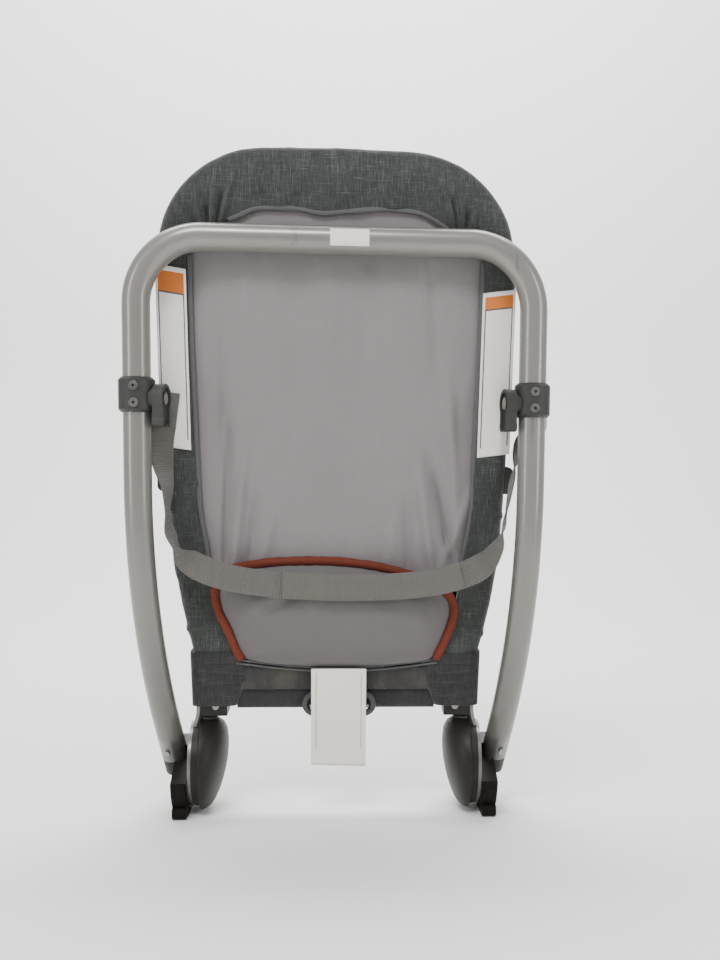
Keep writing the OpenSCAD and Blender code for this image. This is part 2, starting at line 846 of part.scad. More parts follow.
on_left() side_sleeve();  // side_sleeve_left
side_sleeve();  // side_sleeve_right
on_left() lower_flap();  // lower_flap_left
lower_flap();  // lower_flap_right
lower_sleeve();
lower_webbing();
back_panel();
seat_bucket();
bucket_piping();
seat_liner();
crotch_ring();
ring_bar();
care_tag();
on_left() side_label(310, 475);  // side_label_left
side_label(301, 454);  // side_label_right
on_left() toy_bar_socket();  // toy_bar_socket_left
toy_bar_socket();  // toy_bar_socket_right
crotch_strap();
on_left() waist_strap();  // waist_strap_left
waist_strap();  // waist_strap_right
buckle();
buckle_button();
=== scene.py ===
"""Looks of a folded baby bouncer seat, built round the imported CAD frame.
Lengths are millimetres until mesh_piece() turns them into metres."""
import json
import math

import bmesh
import bpy
import numpy as np
from mathutils import Matrix, Vector


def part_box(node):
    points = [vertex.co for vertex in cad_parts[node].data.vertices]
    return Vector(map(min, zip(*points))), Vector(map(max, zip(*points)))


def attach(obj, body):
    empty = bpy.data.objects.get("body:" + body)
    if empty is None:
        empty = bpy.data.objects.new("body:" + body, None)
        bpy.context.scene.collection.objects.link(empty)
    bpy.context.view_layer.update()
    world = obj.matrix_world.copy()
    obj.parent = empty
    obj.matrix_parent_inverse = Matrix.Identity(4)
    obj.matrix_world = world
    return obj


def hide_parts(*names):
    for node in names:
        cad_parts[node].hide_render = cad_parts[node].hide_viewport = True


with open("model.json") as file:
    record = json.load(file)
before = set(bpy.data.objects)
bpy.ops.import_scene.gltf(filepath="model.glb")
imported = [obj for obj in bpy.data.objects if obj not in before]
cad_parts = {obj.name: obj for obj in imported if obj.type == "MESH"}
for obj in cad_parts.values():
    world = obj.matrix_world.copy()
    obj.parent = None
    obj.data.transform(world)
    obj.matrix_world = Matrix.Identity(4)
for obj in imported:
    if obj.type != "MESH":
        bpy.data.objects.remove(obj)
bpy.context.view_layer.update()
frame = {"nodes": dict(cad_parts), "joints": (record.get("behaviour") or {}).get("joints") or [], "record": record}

MM = 0.001
RIGHT, LEFT = 1, -1
SIDES = {"left": LEFT, "right": RIGHT}


# ---------- frames taken from the record ----------

def joint(name):
    return next(j for j in frame["joints"] if j["name"] == name)


FOLD_Y, FOLD_Z = (x / MM for x in joint("seat_fold")["pos_m"][1:])
BUCKLE_AXIS = joint("buckle_press")["axis"]
LEAN = math.atan2(-BUCKLE_AXIS[2], -BUCKLE_AXIS[1])


def seat(points):
    """Seat frame (side, depth, height from the fold axis) to the row frame, in mm."""
    p = np.asarray(points, float)
    c, s = math.cos(LEAN), math.sin(LEAN)
    return np.stack([p[..., 0], FOLD_Y + p[..., 1] * c - p[..., 2] * s,
                     FOLD_Z + p[..., 1] * s + p[..., 2] * c], -1)


# ---------- curves and small maths ----------

def unit(v):
    return v / np.maximum(np.linalg.norm(v, axis=-1, keepdims=True), 1e-9)


def smooth_step(x, low, high):
    t = np.clip((x - low) / (high - low), 0, 1)
    return t * t * (3 - 2 * t)


def resample(points, count):
    """A smooth curve through the points, as evenly spaced points."""
    p = np.asarray(points, float)
    padded = np.vstack([2 * p[0] - p[1], p, 2 * p[-1] - p[-2]])
    fine = []
    for i in range(1, len(padded) - 2):
        a, b, c, d = padded[i - 1:i + 3]
        for t in np.linspace(0, 1, 16, endpoint=False):
            fine.append(0.5 * (2 * b + (c - a) * t + (2 * a - 5 * b + 4 * c - d) * t ** 2
                               + (3 * b - a - 3 * c + d) * t ** 3))
    fine = np.array(fine + [p[-1]])
    return even(fine, count)


def even(points, count):
    """Evenly spaced points along straight pieces."""
    p = np.asarray(points, float)
    along = np.concatenate([[0], np.cumsum(np.linalg.norm(np.diff(p, axis=0), axis=1))])
    wanted = np.linspace(0, along[-1], count)
    return np.stack([np.interp(wanted, along, p[:, k]) for k in range(p.shape[1])], -1)


def ripples(a, b, seed, size, octaves=3):
    """Seeded soft noise from -1 to 1 with bumps about size across."""
    rng = np.random.default_rng(seed)
    total, weight = np.zeros(np.broadcast(a, b).shape), 0
    for octave in range(octaves):
        for _ in range(5):
            turn, phase = rng.uniform(0, math.tau, 2)
            k = math.tau / size * 2 ** octave * rng.uniform(0.6, 1.3)
            total = total + 0.5 ** octave * np.sin(
                k * (a * math.cos(turn) + b * math.sin(turn)) + phase)
            weight += 0.5 ** octave
    return total / weight * 2.2


def creases(a, b, folds):
    """Sum of long soft ridges: (side, height, angle, length, width, rise)."""
    total = 0
    for a0, b0, angle, length, width, rise in folds:
        c, s = math.cos(math.radians(angle)), math.sin(math.radians(angle))
        along = ((a - a0) * c + (b - b0) * s) / length
        across = (-(a - a0) * s + (b - b0) * c) / width
        total = total + rise * np.exp(-along ** 4 - across ** 2)
    return total


# ---------- mesh makers ----------

def mesh_piece(name, points, faces, material, uvs=None, smooth=True):
    """A piece from points in mm and faces of point numbers."""
    mesh = bpy.data.meshes.new(name)
    mesh.from_pydata((np.asarray(points, float) * MM).tolist(), [], faces)
    if uvs is not None:
        layer = mesh.uv_layers.new(name="weave")
        loops = np.array([v for f in faces for v in f])
        layer.data.foreach_set("uv", (np.asarray(uvs)[loops] * MM).ravel())
    mesh.polygons.foreach_set("use_smooth", [smooth] * len(mesh.polygons))
    mesh.update()
    piece = bpy.data.objects.new(name, mesh)
    bpy.context.scene.collection.objects.link(piece)
    mesh.materials.append(material)
    return piece


def grid_faces(rows, cols, wrap=False):
    last = cols if wrap else cols - 1
    return [(i * cols + k, i * cols + (k + 1) % cols, (i + 1) * cols + (k + 1) % cols,
             (i + 1) * cols + k) for i in range(rows - 1) for k in range(last)]


def grid_normals(grid):
    return unit(np.cross(np.gradient(grid, axis=0), np.gradient(grid, axis=1)))


def shell_piece(name, grid, thickness, material, flip=False, wrap=False):
    """A closed sheet: the grid, and the same grid pushed back along its normals. wrap is for
    rings round a centre, whose first and last columns are one line."""
    rows, cols = grid.shape[:2]
    normals = grid_normals(grid)
    loose = np.linalg.norm(normals, axis=-1) < 0.5
    normals[loose] = unit(normals[~loose].mean(0))
    if wrap:
        normals[:, [0, -1]] = unit(normals[:, :1] + normals[:, -1:])
    push = normals * (thickness if flip else -thickness)
    points = np.concatenate([grid.reshape(-1, 3), (grid + push).reshape(-1, 3)])
    count = rows * cols
    top = grid_faces(rows, cols)
    faces = [tuple(reversed(f)) for f in top] if flip else list(top)
    faces += [tuple(v + count for v in (f if flip else reversed(f))) for f in top]
    outer = [(rows - 1) * cols + k for k in range(cols - 1, -1, -1)]
    edge = outer if wrap else ([k for k in range(cols)]
                               + [i * cols + cols - 1 for i in range(1, rows - 1)]
                               + outer + [i * cols for i in range(rows - 2, -1, -1)])
    for a, b in zip(edge, edge[1:]):
        rim = (a, a + count, b + count, b)
        faces.append(tuple(reversed(rim)) if flip else rim)
    u = np.cumsum(np.linalg.norm(np.diff(grid, axis=0, prepend=grid[:1]), axis=-1), 0)
    v = np.cumsum(np.linalg.norm(np.diff(grid, axis=1, prepend=grid[:, :1]), axis=-1), 1)
    uv = np.stack([v, u], -1).reshape(-1, 2)
    piece = mesh_piece(name, points, faces, material, np.concatenate([uv, uv]))
    tidy(piece)
    return piece


def tidy(piece, merge=0.00002):
    """Welds doubled points and turns every face outwards."""
    work = bmesh.new()
    work.from_mesh(piece.data)
    bmesh.ops.remove_doubles(work, verts=work.verts, dist=merge)
    bmesh.ops.dissolve_degenerate(work, edges=work.edges, dist=1e-7)
    bmesh.ops.recalc_face_normals(work, faces=work.faces)
    work.to_mesh(piece.data)
    work.free()


def sweep_piece(name, line, section, material, side=(0, 1, 0), closed=False):
    """A closed section carried along a line. section(i) gives (side, face) offsets; side is a
    direction or one per point."""
    line = np.asarray(line, float)
    if closed:
        heading = unit(np.roll(line, -1, 0) - np.roll(line, 1, 0))
    else:
        heading = unit(np.gradient(line, axis=0))
    across = np.broadcast_to(np.asarray(side, float), line.shape)
    across = unit(across - heading * np.sum(across * heading, -1, keepdims=True))
    face = np.cross(heading, across)
    rings = np.array([line[i] + np.outer(s[:, 0], across[i]) + np.outer(s[:, 1], face[i])
                      for i, s in ((i, section(i)) for i in range(len(line)))])
    rows, cols = rings.shape[:2]
    faces = grid_faces(rows, cols, wrap=True)
    if closed:
        last = (rows - 1) * cols
        faces += [(last + k, last + (k + 1) % cols, (k + 1) % cols, k) for k in range(cols)]
    else:
        faces += [tuple(range(cols))[::-1], tuple((rows - 1) * cols + k for k in range(cols))]
    along = np.concatenate([[0], np.cumsum(np.linalg.norm(np.diff(line, axis=0), axis=1))])
    round_it = np.cumsum(np.linalg.norm(np.diff(rings, axis=1, prepend=rings[:, :1]), axis=-1), 1)
    uv = np.stack([round_it, np.broadcast_to(along[:, None], (rows, cols))], -1)
    piece = mesh_piece(name, rings.reshape(-1, 3), faces, material, uv.reshape(-1, 2))
    tidy(piece)
    return piece


def circle(radius, count):
    a = np.arange(count) * math.tau / count
    return np.stack([radius * np.cos(a), radius * np.sin(a)], -1)


def super_ring(half_a, half_b, power, count):
    a = np.arange(count) * math.tau / count
    c, s = np.cos(a), np.sin(a)
    return np.stack([half_a * np.sign(c) * np.abs(c) ** (2 / power),
                     half_b * np.sign(s) * np.abs(s) ** (2 / power)], -1)


def subdivide(piece, levels=1):
    modifier = piece.modifiers.new("subdivision", "SUBSURF")
    modifier.levels = modifier.render_levels = levels


# ---------- materials ----------

class Look:
    """A Principled material and short ways to add nodes to it."""

    def __init__(self, name, color, roughness, **sockets):
        self.material = bpy.data.materials.new(name)
        self.material.use_nodes = True
        self.nodes = self.material.node_tree.nodes
        self.links = self.material.node_tree.links
        self.shader = self.nodes["Principled BSDF"]
        self.color = color
        self.shader.inputs["Base Color"].default_value = (*color, 1)
        self.shader.inputs["Roughness"].default_value = roughness
        for key, value in sockets.items():
            self.shader.inputs[key.replace("_", " ")].default_value = value
        self.place = self.node("ShaderNodeTexCoord")
        self.height = None

    def node(self, kind, values=None, **settings):
        made = self.nodes.new(kind)
        for key, value in settings.items():
            setattr(made, key, value)
        for key, value in (values or {}).items():
            self.put(made, key, value)
        return made

    def put(self, node, key, value):
        if isinstance(value, bpy.types.NodeSocket):
            self.links.new(value, node.inputs[key])
        else:
            node.inputs[key].default_value = value

    def math(self, operation, a, b=0.0):
        return self.node("ShaderNodeMath", {0: a, 1: b}, operation=operation).outputs[0]

    def noise(self, scale, stretch=(1, 1, 1), turn=(0, 0, 0), detail=3.0, coords="Object"):
        spot = self.node("ShaderNodeMapping", {
            "Vector": self.place.outputs[coords], "Scale": stretch,
            "Rotation": [math.radians(x) for x in turn]})
        return self.node("ShaderNodeTexNoise", {
            "Vector": spot.outputs[0], "Scale": scale, "Detail": detail}).outputs["Fac"]

    def wave(self, period, axis, coords="Object", wobble=0.0):
        """Bands with that period in metres, from 0 to 1."""
        return self.node("ShaderNodeTexWave", {
            "Vector": self.place.outputs[coords], "Scale": math.tau / 20 / period,
            "Distortion": wobble, "Detail": 1.0, "Detail Scale": 2.0},
            wave_type="BANDS", bands_direction=axis).outputs["Fac"]

    def ramp(self, value, low, high):
        return self.node("ShaderNodeMapRange", {
            "Value": value, "From Min": low, "From Max": high}).outputs[0]

    def tint(self, amount, color):
        """Lays a colour over the one so far, by a value from 0 to 1."""
        mix = self.node("ShaderNodeMix", data_type="RGBA")
        socket = self.shader.inputs["Base Color"]
        self.put(mix, 0, amount)
        if socket.is_linked:
            self.links.new(socket.links[0].from_socket, mix.inputs[6])
        else:
            mix.inputs[6].default_value = (*self.color, 1)
        mix.inputs[7].default_value = (*color, 1)
        self.links.new(mix.outputs[2], socket)

    def rough(self, value, low, high):
        spread = self.node("ShaderNodeMapRange", {"Value": value, "To Min": low, "To Max": high})
        self.links.new(spread.outputs[0], self.shader.inputs["Roughness"])

    def bump(self, value, depth, edge=0.0):
        """Adds relief; depth is in metres. edge rounds sharp edges by that radius."""
        made = self.node("ShaderNodeBump", {"Height": value, "Distance": depth, "Strength": 1.0})
        if self.height is not None:
            self.links.new(self.height, made.inputs["Normal"])
        elif edge:
            bevel = self.node("ShaderNodeBevel", {"Radius": edge}, samples=4)
            self.links.new(bevel.outputs[0], made.inputs["Normal"])
        self.height = made.outputs[0]
        self.links.new(self.height, self.shader.inputs["Normal"])


def shade(color, factor):
    return tuple(min(1, c * factor) for c in color)


def paint_look():
    look = Look("satin_paint", (0.235, 0.23, 0.212), 0.3, Metallic=0.35, Coat_Weight=0.5,
                Coat_Roughness=0.18)
    look.tint(look.ramp(look.noise(9, detail=4), 0.35, 0.8), (0.205, 0.195, 0.175))
    scuffs = look.noise(60, (1, 1, 0.06), detail=6)
    look.tint(look.math("MULTIPLY", look.ramp(scuffs, 0.66, 0.72), 0.55), (0.09, 0.08, 0.07))
    # Painted shade: the paint darkens towards the bottom of the tube, in place of the lower rails getting less
    # light.
    height = look.node("ShaderNodeSeparateXYZ", {0: look.place.outputs["Object"]}).outputs["Z"]
    look.tint(look.math("MULTIPLY", look.ramp(height, 0.36, 0.08), 0.6), (0.10, 0.096, 0.086))
    look.rough(look.noise(35, detail=5), 0.24, 0.42)
    look.bump(look.noise(420, detail=2), 0.00002)
    return look.material


def plastic_look(name, color, roughness, grain=0.00004, dust=0.25, edge=0.0008, **sockets):
    look = Look(name, color, roughness, **sockets)
    look.tint(look.math("MULTIPLY", look.ramp(look.noise(14, detail=6), 0.4, 0.75), dust),
              shade(color, 2.0))
    look.tint(look.math("MULTIPLY", look.ramp(look.noise(40, detail=4), 0.55, 0.8), 0.3),
              shade(color, 0.6))
    look.rough(look.noise(50, detail=4), roughness - 0.08, roughness + 0.1)
    look.bump(look.noise(1500, detail=2), grain, edge)
    return look.material


def steel_look():
    look = Look("zinc_steel", (0.27, 0.26, 0.24), 0.34, Metallic=1.0)
    look.tint(look.ramp(look.noise(90, detail=5), 0.5, 0.8), (0.12, 0.11, 0.095))
    look.rough(look.noise(200, (1, 1, 8), detail=4), 0.2, 0.42)
    look.bump(look.noise(700, detail=3), 0.00003, 0.0003)
    return look.material


def threads(look, period, depth):
    """Plain weave: two crossed sets of threads."""
    look.bump(look.math("MULTIPLY", look.wave(period, "X", wobble=0.6),
                        look.wave(period, "Z", wobble=0.6)), depth)


def tweed_look(name, color):
    """Dark cloth crossed by thin pale slubs at several angles."""
    look = Look(name, color, 0.92, Sheen_Weight=0.25, Sheen_Roughness=0.5)
    look.tint(look.ramp(look.noise(22, detail=5), 0.35, 0.7), shade(color, 0.62))
    pale = shade(color, 5)
    for stretch, turn, start in (((1, 1, 34), (0, 0, 0), 0.59), ((34, 1, 1), (0, 0, 0), 0.59),
                                 ((40, 1, 1), (0, 42, 0), 0.60),
                                 ((40, 1, 1), (0, -38, 0), 0.60)):
        slub = look.noise(75, stretch, turn, detail=4)
        look.tint(look.math("MULTIPLY", look.ramp(slub, start, start + 0.14), 0.65), pale)
    fine = look.noise(900, (1, 1, 1), detail=2)
    look.tint(look.math("MULTIPLY", look.ramp(fine, 0.5, 0.75), 0.35), shade(color, 2.2))
    look.bump(look.noise(75, (1, 1, 34), detail=4), 0.00025)
    look.bump(look.noise(75, (34, 1, 1), detail=4), 0.00025)
    threads(look, 0.0011, 0.00012)
    return look.material


def cloth_look(name, color, sheen=0.3, period=0.0009, blotch=0.5, roughness=0.8):
    look = Look(name, color, roughness, Sheen_Weight=sheen, Sheen_Roughness=0.4)
    look.tint(look.math("MULTIPLY", look.ramp(look.noise(11, detail=5), 0.35, 0.75), blotch),
              shade(color, 0.86))
    fine = look.noise(700, (1, 1, 1), detail=2)
    look.tint(look.math("MULTIPLY", look.ramp(fine, 0.45, 0.7), 0.4), shade(color, 1.12))
    look.bump(look.noise(60, detail=5), 0.0004)
    threads(look, period, 0.00010)
    return look.material


def webbing_look(name="webbing", color=(0.118, 0.112, 0.102)):
    """Ribs across the strap, each crossed by fine warp threads."""
    look = Look(name, color, 0.75, Sheen_Weight=0.3, Sheen_Roughness=0.4)
    rib = look.wave(0.0017, "Y", "UV", 0.15)
    warp = look.wave(0.0009, "X", "UV", 0.4)
    # Painted shade in the hollows between ribs, and painted highlight on the raised warp threads; the same waves
    # raise the bump below.
    look.tint(look.math("MULTIPLY", look.ramp(rib, 0.55, 0.05), 0.75), shade(color, 0.4))
    look.tint(look.math("MULTIPLY", look.ramp(warp, 0.4, 1.0), 0.35), shade(color, 1.75))
    look.tint(look.math("MULTIPLY", look.ramp(look.noise(30, detail=5), 0.5, 0.8), 0.5),
              (0.14, 0.12, 0.09))
    look.bump(look.math("ADD", rib, look.math("MULTIPLY", warp, 0.4)), 0.00035)
    return look.material


def liner_look():
    color = (0.34, 0.335, 0.34)
    look = Look("liner_fabric", color, 0.88, Sheen_Weight=0.4, Sheen_Roughness=0.45)
    for stretch in ((1, 1, 20), (20, 1, 1)):
        fleck = look.noise(120, stretch, detail=4)
        look.tint(look.math("MULTIPLY", look.ramp(fleck, 0.52, 0.68), 0.5), shade(color, 0.62))
    threads(look, 0.0012, 0.00014)
    return look.material


LOOKS = {
    "frame_paint": paint_look(),
    "hub_plastic": plastic_look("hub_plastic", (0.011, 0.0098, 0.0075), 0.45, Specular_IOR_Level=0.28),
    "clamp_plastic": plastic_look("clamp_plastic", (0.034, 0.035, 0.033), 0.5, Specular_IOR_Level=0.3),
    "foot_rubber": plastic_look("foot_rubber", (0.0045, 0.0035, 0.0022), 0.7, 0.00008, 0.15,
                                Specular_IOR_Level=0.15),
    "zinc_steel": steel_look(),
    "webbing": webbing_look(),
    "tweed": tweed_look("tweed", (0.029, 0.0325, 0.030)),
    "tweed_flap": tweed_look("tweed_flap", (0.0125, 0.0133, 0.0128)),
    "panel_fabric": cloth_look("panel_fabric", (0.215, 0.196, 0.199)),
    "liner_fabric": liner_look(),
    "piping_rust": cloth_look("piping_rust", (0.125, 0.016, 0.0025), 0.04, 0.0008, 0.9, 0.8),
    "tag_white": cloth_look("tag_white", (0.88, 0.85, 0.78), 0.15, 0.0007, 0.6, 0.65),
    "black_plastic": plastic_look("black_plastic", (0.02, 0.02, 0.022), 0.3, 0.00002, 0.15,
                                  Coat_Weight=0.3),
    "button_rust": plastic_look("button_rust", (0.30, 0.07, 0.02), 0.35, 0.00002, 0.1),
}
BINDING = cloth_look("binding", (0.085, 0.084, 0.086), 0.3, 0.0008, 0.5)
DARK_WEBBING = webbing_look("dark_webbing", (0.028, 0.027, 0.026))
# Painted shade: the pocket is the panel's cloth darkened, for the shade on its downward-facing surface.
SHADED_POCKET = cloth_look("pocket_fabric_painted_shade", (0.125, 0.112, 0.113))
HEADER = cloth_look("label_header", (0.62, 0.17, 0.02), 0.1, 0.0007, 0.4, 0.6)
THREAD = cloth_look("sewing_thread", (0.42, 0.39, 0.34), 0.2, 0.0005, 0.3)


def dress_cad_nodes():
    slots = {s["node"]: s["material_slot"] for s in frame["record"]["subparts"]}
    for name, node in frame["nodes"].items():
        node.data.materials.clear()
        node.data.materials.append(LOOKS[slots[name]])
    for name in ("lower_cross_tube", "seat_tube"):
        frame["nodes"][name].data.polygons.foreach_set(
            "use_smooth", [True] * len(frame["nodes"][name].data.polygons))


def place(piece, body, slot, *replaced):
    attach(piece, body)
    if replaced:
        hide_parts(*replaced)
    return piece


# ---------- base frame ----------

RAIL_X, RAIL_Y, RAIL_R = 180.5, -45, 12.7
CROSSBAR_Z, CORNER_R = 543, 60
BEND_Z, BEND_R, BEND_A, BEND_TURN, RAIL_END = 324, 600, 24, 21, 28


def rocker_point(bent, past):
    a, turn = math.radians(bent), math.radians(BEND_TURN)
    forward = BEND_R * (1 - math.cos(a)) + past * math.sin(a)
    down = BEND_R * math.sin(a) + past * math.cos(a)
    return [RAIL_X - forward * math.sin(turn), RAIL_Y + forward * math.cos(turn), BEND_Z - down]


def base_line():
    half = [rocker_point(BEND_A, RAIL_END)]
    half += [rocker_point(a, 0) for a in np.arange(BEND_A, -0.1, -1)]
    half += [[RAIL_X, RAIL_Y, z] for z in np.linspace(BEND_Z, CROSSBAR_Z - CORNER_R, 6)[1:-1]]
    half += [[RAIL_X + CORNER_R * (math.cos(a) - 1), RAIL_Y, CROSSBAR_Z + CORNER_R * (math.sin(a) - 1)]
             for a in np.radians(np.arange(0, 90.1, 3))]
    half = np.array(half)
    return np.vstack([half, (half * [-1, 1, 1])[::-1]])


def make_base_tube():
    ring = circle(RAIL_R, 48)
    tube = sweep_piece("rocker_tube", base_line(), lambda i: ring, LOOKS["frame_paint"])
    place(tube, "base", "frame_paint", "base_tube")


# ---------- seat outline ----------

SIDE_TOP, SIDE_LOW = 488, 109
HOOD_R, HOOD_H, HOOD_X, HOOD_W = 99.5, 95.5, 66, 487
OUTER_EDGE = ([109, 128, 160, 203, 259, 330, 400, 488], [137, 142, 149, 156, 159.5, 162.5, 164.5, 165.5])
INNER_BACK = ([109, 125, 136, 153, 168, 186, 204, 253, 400, 488],
              [95, 102, 107, 114.5, 118, 119, 122, 129.5, 134.5, 136])
INNER_FRONT = ([109, 140, 190, 204, 253, 400, 488], [99, 100, 117, 121, 130, 134, 134])
BACK_V, FRONT_V = -11, 19.5
HEM = ([-100, -88, -72, -40, -14, 8, 40, 62, 78, 92, 102],
       [516, 521, 527, 527.5, 524, 526, 529, 528.5, 525.5, 519, 513])


def cover_stations(part, side):
    """Outer edge, back inner edge and front inner edge of the fabric, along one part."""
    if part == "side":
        w = np.linspace(SIDE_LOW, SIDE_TOP, 150)
        outer, back, front = (np.stack([side * np.interp(w, *edge), w], -1)
                              for edge in (OUTER_EDGE, INNER_BACK, INNER_FRONT))
        return outer, back, front
    a = np.radians(np.linspace(180, 90, 70))
    arc = np.stack([-HOOD_X + HOOD_R * np.cos(a), HOOD_W + HOOD_H * np.sin(a)], -1)
    arc[0] = [-OUTER_EDGE[1][-1], SIDE_TOP]
    top = np.stack([np.linspace(-HOOD_X, HOOD_X, 91)[1:-1], np.full(89, HOOD_W + HOOD_H)], -1)
    outer = np.vstack([arc, top, (arc * [-1, 1])[::-1]])
    outer[:, 1] += 1.4 * np.cos(np.clip(outer[:, 0] / 90, -1, 1) * math.pi / 2)
    hem_line = even(np.stack(HEM, -1), 120)
    left_in = even([[-136, SIDE_TOP], [-129, 503], [-118, 511], hem_line[0]], 64)
    right_in = even([hem_line[-1], [118, 511], [129, 503], [136, SIDE_TOP]], 65)
    back = even(np.vstack([left_in, hem_line[1:-1], right_in]), len(outer))
    r = 22
    corner = [[-112 - r * math.cos(x), 498 + r * math.sin(x)] for x in np.radians(range(0, 91, 15))]
    corner = [[-134, SIDE_TOP]] + corner
    front = even(corner + [[-x, y] for x, y in reversed(corner)], len(outer))
    return outer, back, front


def cover_section(outer, back, front):
    """Points of the fabric's cross-section: the lining inside, round the back and edge, to the front."""
    to_back, to_front = unit(back - outer), unit(front - outer)
    wide_back = np.linalg.norm(back - outer, axis=-1)[:, None]
    wide_front = np.linalg.norm(front - outer, axis=-1)[:, None]
    rows = [(back, to_back, -16, -5.0), (back, to_back, -6, -6.5), (back, to_back, -1, -8.2),
            (back, to_back, 0.6, -9.6), (back, to_back, -1.2, -11.2)]
    points = [np.concatenate([base + way * step, np.full((len(base), 1), v)], -1)
              for base, way, step, v in rows]
    for share in (0.8, 0.6, 0.4, 0.24):
        spot = outer + to_back * wide_back * share
        rise = -1.6 * math.sin(math.pi * share)
        points.append(np.concatenate([spot, np.full((len(spot), 1), BACK_V + rise)], -1))
    for step, v in ((4.2, -10.6), (1.4, -7), (0.2, -1), (0, 4.5), (0.3, 10), (1.6, 15.5), (4.6, 19)):
        spot = outer + to_back * step
        points.append(np.concatenate([spot, np.full((len(spot), 1), v)], -1))
    for share in (0.3, 0.5, 0.7, 0.88):
        spot = outer + to_front * wide_front * share
        rise = 1.8 * math.sin(math.pi * share)
        points.append(np.concatenate([spot, np.full((len(spot), 1), FRONT_V + rise)], -1))
    for step, v in ((-0.8, 18.2), (0.4, 15), (0.6, 10), (0.6, 4)):
        points.append(np.concatenate([front + to_front * step, np.full((len(front), 1), v)], -1))
    control = np.stack(points, 1)
    return np.array([resample(station, 84) for station in control])


SIDE_FOLDS = {
    LEFT: [(-149, 262, 24, 16, 3.2, -3.2), (-146, 271, 18, 18, 3, 2.6), (-150, 246, -50, 16, 4, 2.2),
           (-141, 240, -62, 22, 3.4, -2.6), (-147, 205, 70, 26, 5, 1.6), (-138, 196, 80, 26, 3, -1.4),
           (-139, 150, 30, 14, 3, -2.4), (-136, 138, 20, 16, 3, 2.2), (-131, 128, 14, 16, 2.6, -2.4),
           (-152, 330, 85, 30, 5, 1.5)],
    RIGHT: [(150, 258, -20, 16, 3.2, -3.4), (149, 248, -12, 16, 3, 2.8), (147, 238, 30, 15, 3, -2.8),
            (145, 228, 58, 18, 4, 2.0), (142, 200, 85, 28, 5, 1.6), (137, 145, -32, 14, 3, -2.4),
            (133, 134, -20, 16, 3, 2.4), (129, 124, -14, 15, 2.6, -2.4), (155, 330, 88, 30, 5, 1.2)],
}
HOOD_FOLDS = [(s * x, w, 90 - s * lean, length, 2.6, rise)
              for s in (LEFT, RIGHT)
              for x, w, lean, length, rise in (
                  (101, 533, -16, 24, 3.4), (107, 531, -10, 26, -4.0), (113, 528, -4, 26, 3.8),
                  (119, 524, 4, 25, -3.8), (125, 521, 10, 24, 3.4), (131, 516, 18, 22, -3.2),
                  (138, 512, 24, 20, 2.4), (144, 506, 30, 16, -2.0))]
HOOD_FOLDS += [(-30, 548, 68, 26, 7, -2.2), (-12, 545, -60, 30, 7, -2.6), (30, 548, 40, 34, 7, -2.2),
               (62, 552, 62, 30, 8, 1.8), (-70, 556, -50, 30, 8, 1.6), (8, 562, 15, 50, 9, 1.4)]


def wrinkle(grid, reach, folds, seed, size, rise):
    """How far fabric is pushed out by folds on its back and by soft noise. reach is the distance
    from the outer edge: no fold sinks in where the seat tube runs."""
    u, v, w = grid[..., 0], grid[..., 1], grid[..., 2]
    push = creases(u, w, folds) * smooth_step(-v, 0, 9) + ripples(u + v, w + 0.7 * v, seed, size) * rise
    push = np.where(push < 0, push * smooth_step(reach, 25, 36), push)
    return push * np.where(np.arange(grid.shape[1]) < 10, 0.25, 1.0)


def make_cover(part, side, name, node, folds, seed):
    outer, back, front = cover_stations(part, side)
    flat = cover_section(outer, back, front)
    grid = flat[..., [0, 2, 1]]
    reach = np.linalg.norm(flat[..., :2] - outer[:, None], axis=-1)
    out, push = grid_normals(grid), wrinkle(grid, reach, folds, seed, 46, 0.55)
    middle = grid.reshape(-1, 3).mean(0)
    if np.sum(out * (grid - middle)) < 0:
        out = -out
    grid = grid + out * push[..., None]
    piece = shell_piece(name, seat(grid), 1.3, LOOKS["tweed"])
    place(piece, "seat", "tweed", node)
    return piece


def back_surface(side, u, w):
    """Depth of a side sleeve's back, for what is sewn on it."""
    outer, inner = np.interp(w, *OUTER_EDGE), np.interp(w, *INNER_BACK)
    share = np.clip((outer - np.abs(u)) / (outer - inner), 0.1, 1)
    return BACK_V - 1.6 * np.sin(math.pi * share) - np.maximum(creases(u, w, SIDE_FOLDS[side]), 0)


def make_binding(side, name):
    """Narrow bound edge along the inside of a side sleeve."""
    w = np.linspace(196, 486, 90)
    u = side * (np.interp(w, *INNER_BACK) - 0.6)
    line = seat(np.stack([u, np.full_like(w, -11.4) - 0.3 * np.sin(w / 17), w], -1))
    ring = super_ring(1.0, 2.0, 2.6, 14)
    piece = sweep_piece(name, line, lambda i: ring, BINDING)
    place(piece, "seat", "webbing")


def make_hood_hem():
    """Rolled hem along the hood's opening."""
    line = resample(np.stack(HEM, -1), 110)
    depth = np.full(len(line), -10.6)
    points = seat(np.stack([line[:, 0], depth, line[:, 1] + 0.6], -1))

    def section(i):
        return super_ring(1.3, 2.3 + 0.3 * math.sin(i * 0.31), 2.4, 16)

    piece = sweep_piece("hood_hem", points, section, BINDING)
    place(piece, "seat", "tweed")


# ---------- light panel and seat bottom ----------

